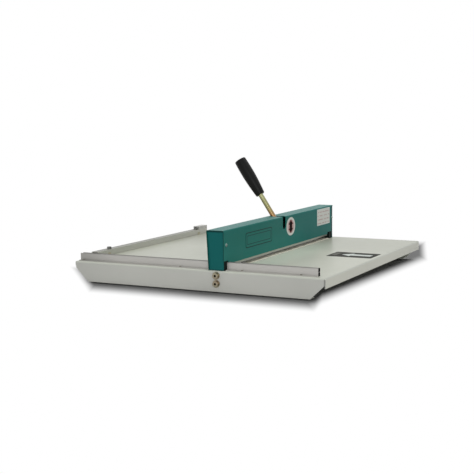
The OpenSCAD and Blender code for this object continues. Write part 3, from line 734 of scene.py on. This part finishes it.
def stick(thing, at, body, upright=False):
    """Closes a sheet and lays it on the table, or stands it up facing the operator."""
    if thing.mode == "EDIT":
        bpy.ops.mesh.select_all(action="SELECT")
        bpy.ops.mesh.normals_make_consistent(inside=False)
        bpy.ops.object.mode_set(mode="OBJECT")
    thing.rotation_euler = (math.radians(90.0) if upright else 0.0, 0.0, 0.0)
    thing.location = at
    settle(thing, body)


def arrow_outline(length, shaft, head, head_length):
    """An arrow along +Y, centred on the origin."""
    tip = length / 2
    neck = tip - head_length
    return [(-shaft / 2, -tip), (shaft / 2, -tip), (shaft / 2, neck), (head / 2, neck),
            (0.0, tip), (-head / 2, neck), (-shaft / 2, neck)]


def double_arrow_outline(length, shaft, head, head_length):
    """An arrow with a head at each end, along Y."""
    tip = length / 2
    neck = tip - head_length
    right = [(shaft / 2, -neck), (shaft / 2, neck), (head / 2, neck), (0.0, tip)]
    left = [(-shaft / 2, neck), (-shaft / 2, -neck), (-head / 2, -neck), (0.0, -tip)]
    return [(head / 2, -neck)] + right + [(-head / 2, neck)] + left


# ---- stickers and plates ----

COVER_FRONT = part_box("cover_shell")[0].y
TABLE_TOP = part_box("table_tray")[1].z
PRINT = 0.12 * MM                          # thickness of a printed sticker
INK = 0.05 * MM                            # how far ink stands on it

VINYL = {
    "white_print": printed("white_print", linear(212, 212, 206)),
    "rose_print": printed("rose_print", linear(196, 170, 166)),
    "red_ink": printed("red_ink", linear(112, 22, 18), specular=0.04),
    "black_ink": printed("black_ink", linear(5, 3, 3), specular=0.02),
    "dark_print": printed("dark_print", linear(34, 35, 28), roughness=0.6),
    "grey_print": printed("grey_print", linear(96, 97, 90), roughness=0.6),
    "pale_print": printed("pale_print", linear(206, 213, 207)),
    "plate_line": printed("plate_line", linear(8, 44, 40)),
    "faint_line": printed("faint_line", linear(14, 66, 60)),
}


def lever_sticker():
    """Oval sticker by the lever, with an arrow for the lever's two ways."""
    x, z = 28.4 * MM, 101.3 * MM
    base = disc("lever_sticker", width=48 * MM, height=41.5 * MM, thick=PRINT)
    base.data.materials.append(VINYL["white_print"])
    inlay(base, width=37 * MM, height=31 * MM, finish=VINYL["rose_print"])
    stick(base, (x, COVER_FRONT, z), "base", upright=True)
    rim = flat_shape("lever_arrow_edge", double_arrow_outline(
        length=32 * MM, shaft=16 * MM, head=26 * MM, head_length=11 * MM), INK)
    rim.data.materials.append(VINYL["red_ink"])
    stick(rim, (x, COVER_FRONT - PRINT, z), "base", upright=True)
    core = flat_shape("lever_arrow", double_arrow_outline(
        length=28 * MM, shaft=11.5 * MM, head=20 * MM, head_length=9.5 * MM), INK)
    core.data.materials.append(VINYL["black_ink"])
    stick(core, (x, COVER_FRONT - PRINT - INK, z), "base", upright=True)


def data_plate():
    """Pale plate at the far end of the cover, with faint ruled blocks and no words."""
    x, z = 224.5 * MM, 104.7 * MM
    plate = card("data_plate", width=81 * MM, height=39.6 * MM, corner=1.5 * MM, thick=PRINT)
    plate.data.materials.append(VINYL["pale_print"])
    inlay(plate, width=76 * MM, height=35 * MM, finish=ruled_print())
    stick(plate, (x, COVER_FRONT, z), "base", upright=True)


def ruled_print():
    """Blank form print: rows of short pale blocks, broken up along their length."""
    rows_per_metre = 110.0
    s = Shader("ruled_print", linear(206, 213, 207), Specular_IOR_Level=0.1)
    rows = s.math("FRACT", s.math("MULTIPLY", s.axis("Z"), rows_per_metre))
    row = s.math("GREATER_THAN", rows, 0.7)
    words = s.noise(scale=1.0, detail=1.0, stretch=(rows_per_metre, 1.0, rows_per_metre))
    word = s.math("GREATER_THAN", words, 0.47)
    share = s.math("MULTIPLY", s.math("MULTIPLY", row, word), 0.55)
    s.set_colour(s.mix(share, linear(206, 208, 202), linear(168, 120, 120)))
    ripple(s)
    return s.material


def name_plate():
    """Blank plate with a double line round it, pressed from the cover's own colour."""
    x, z = -137.5 * MM, 95.6 * MM
    width, height = 128, 32                # in millimetres
    paint = FINISH["teal_paint"]
    plate = card("name_plate", width * MM, height * MM, corner=4 * MM, thick=0.3 * MM)
    plate.data.materials.append(paint)
    outer_line, inner_line = VINYL["plate_line"], VINYL["faint_line"]
    for inset, finish in ((0.1, outer_line), (3.4, paint), (12.5, inner_line), (15.5, paint)):
        inlay(plate, (width - inset) * MM, (height - inset) * MM, finish)
    stick(plate, (x, COVER_FRONT, z), "base", upright=True)


def feed_label():
    """Dark label on the table, whose arrow shows which way the paper goes in."""
    x, y = 14.5 * MM, -229.2 * MM
    base = card("feed_label", width=70 * MM, height=103.5 * MM, corner=2 * MM, thick=PRINT)
    base.data.materials.append(VINYL["dark_print"])
    stick(base, (x - 1.5 * MM, y - 0.8 * MM, TABLE_TOP), "base")
    arrow = flat_shape("feed_arrow", arrow_outline(
        length=69 * MM, shaft=20 * MM, head=40 * MM, head_length=24 * MM), INK)
    arrow.data.materials.append(VINYL["pale_print"])
    stick(arrow, (x - 1 * MM, y - 7.5 * MM, TABLE_TOP + PRINT), "base")
    bar = card("feed_bar", width=40 * MM, height=12 * MM, corner=1 * MM, thick=INK)
    bar.data.materials.append(VINYL["grey_print"])
    stick(bar, (x + 1.5 * MM, y + 41 * MM, TABLE_TOP + PRINT), "base")


lever_sticker()
data_plate()
name_plate()
feed_label()
